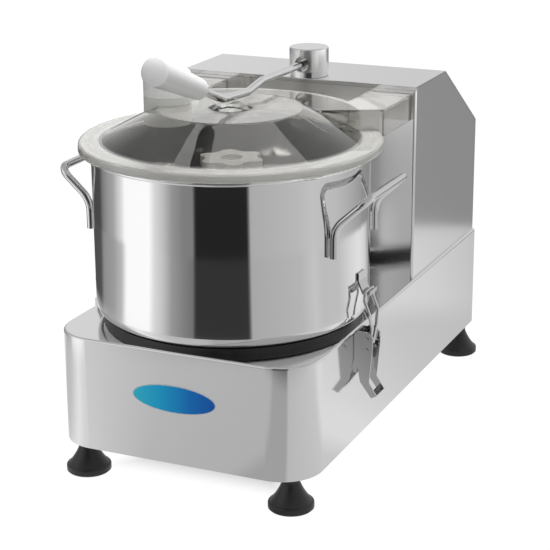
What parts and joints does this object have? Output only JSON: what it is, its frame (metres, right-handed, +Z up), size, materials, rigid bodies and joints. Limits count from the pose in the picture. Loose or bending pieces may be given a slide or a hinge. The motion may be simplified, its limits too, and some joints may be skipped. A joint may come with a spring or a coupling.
{
  "type": "bowl cutter",
  "caption": "Table-top bowl cutter: lidded steel bowl with a swept-blade cutter, held by side latches in front of a sheet-metal motor tower, with a swing lever over the lid.",
  "frame": {"origin": "on the floor, in the middle of the base casing's footprint, level with the undersides of the feet", "axes": "+X to the operator's right, +Y from the bowl back to the tower, +Z up; the operator stands at -Y"},
  "size_m": [0.344, 0.5611, 0.4459],
  "materials": {
    "brushed_steel": "stainless sheet, fine horizontal brushing",
    "polished_steel": "stainless, near-mirror polish",
    "bright_steel": "stainless rod and strip, polished",
    "black_rubber": "moulded rubber, satin",
    "clear_plastic": "clear moulded plastic, smooth",
    "clear_rubber": "translucent silicone, satin",
    "grey_plastic": "pale grey plastic, satin",
    "white_plastic": "white moulded plastic",
    "black_plastic": "black moulded plastic",
    "green_plastic": "green moulded plastic",
    "red_plastic": "red moulded plastic",
    "cast_aluminium": "cast and machined aluminium",
    "painted_grey": "grey paint on steel"
  },
  "bodies": {
    "frame": {"base_casing": "brushed_steel", "bottom_plate": "brushed_steel", "tower_casing": "brushed_steel", "tower_cover": "brushed_steel", "cover_screws": "bright_steel", "foot_front_left": "black_rubber", "foot_front_right": "black_rubber", "foot_rear_left": "black_rubber", "foot_rear_right": "black_rubber", "frame_bolts": "bright_steel", "bowl": "polished_steel", "bowl_column": "polished_steel", "bowl_seat": "black_rubber", "handle_left": "bright_steel", "handle_right": "bright_steel", "catch_left": "bright_steel", "catch_right": "bright_steel", "latch_bracket_left": "bright_steel", "latch_bracket_right": "bright_steel", "lid": "clear_plastic", "feed_chute": "clear_plastic", "lid_gasket": "clear_rubber", "lever_bush": "bright_steel", "interlock_switch": "black_plastic", "bearing_housing": "cast_aluminium", "spindle_bearings": "bright_steel", "shaft_seal": "black_rubber", "drive_belt": "black_rubber", "motor_plate": "painted_grey", "motor_housing": "cast_aluminium", "fan_cowl": "painted_grey", "button_panel": "black_plastic", "switch_block": "black_plastic", "electrics_box": "black_plastic", "capacitor": "white_plastic", "cable_gland": "black_plastic"},
    "cutter": {"spindle": "bright_steel", "driven_pulley": "cast_aluminium", "blade_sleeve": "polished_steel", "lower_blade": "polished_steel", "blade_spacer": "polished_steel", "upper_blade": "polished_steel", "blade_clamp": "polished_steel", "star_knob": "white_plastic"},
    "motor": {"motor_rotor": "painted_grey", "drive_pulley": "cast_aluminium", "cooling_fan": "black_plastic"},
    "lid_lever": {"lever_hub": "bright_steel", "lever_shaft": "bright_steel", "lever_nut": "bright_steel", "lever_rod": "bright_steel", "lever_grip": "grey_plastic", "interlock_cam": "white_plastic"},
    "latch_right": {"latch_lever_right": "bright_steel"},
    "latch_left": {"latch_lever_left": "bright_steel"},
    "bail_wire_right": {"bail_right": "bright_steel"},
    "bail_wire_left": {"bail_left": "bright_steel"},
    "chute_cap": {"feed_cap": "clear_plastic"},
    "start": {"start_button": "green_plastic"},
    "stop": {"stop_button": "red_plastic"}
  },
  "joints": [
    {"name": "cutter_spin", "type": "hinge", "parent": "frame", "child": "cutter", "pos_m": [0, -0.122, 0], "axis": [0, 0, 1], "continuous": true},
    {"name": "motor_spin", "type": "hinge", "parent": "frame", "child": "motor", "pos_m": [0, 0.152, 0], "axis": [0, 0, 1], "continuous": true},
    {"name": "lever_swing", "type": "hinge", "parent": "frame", "child": "lid_lever", "pos_m": [0, 0.079, 0], "axis": [0, 0, 1], "range_deg": [0, 100]},
    {"name": "latch_right_turn", "type": "hinge", "parent": "frame", "child": "latch_right", "pos_m": [0.1521, -0.122, 0.1462], "axis": [0, -1, 0], "range_deg": [0, 80]},
    {"name": "latch_left_turn", "type": "hinge", "parent": "frame", "child": "latch_left", "pos_m": [-0.1521, -0.122, 0.1462], "axis": [0, 1, 0], "range_deg": [0, 80]},
    {"name": "bail_right_turn", "type": "hinge", "parent": "latch_right", "child": "bail_wire_right", "pos_m": [0.1521, -0.122, 0.1345], "axis": [0, -1, 0], "range_deg": [-70, 5]},
    {"name": "bail_left_turn", "type": "hinge", "parent": "latch_left", "child": "bail_wire_left", "pos_m": [-0.1521, -0.122, 0.1345], "axis": [0, 1, 0], "range_deg": [-70, 5]},
    {"name": "cap_slide", "type": "slide", "parent": "frame", "child": "chute_cap", "axis": [0, 0, 1], "range_m": [0, 0.06]},
    {"name": "start_press", "type": "slide", "parent": "frame", "child": "start", "axis": [1, 0, 0], "range_m": [0, 0.003], "stiffness_N_per_m": 400, "springref_m": -0.001},
    {"name": "stop_press", "type": "slide", "parent": "frame", "child": "stop", "axis": [1, 0, 0], "range_m": [0, 0.003], "stiffness_N_per_m": 400, "springref_m": -0.001}
  ],
  "couplings": [
    {"joint": "cutter_spin", "follows": "motor_spin", "ratio": 0.6667},
    {"joint": "bail_right_turn", "follows": "latch_right_turn", "ratio": -0.83},
    {"joint": "bail_left_turn", "follows": "latch_left_turn", "ratio": -0.83}
  ]
}
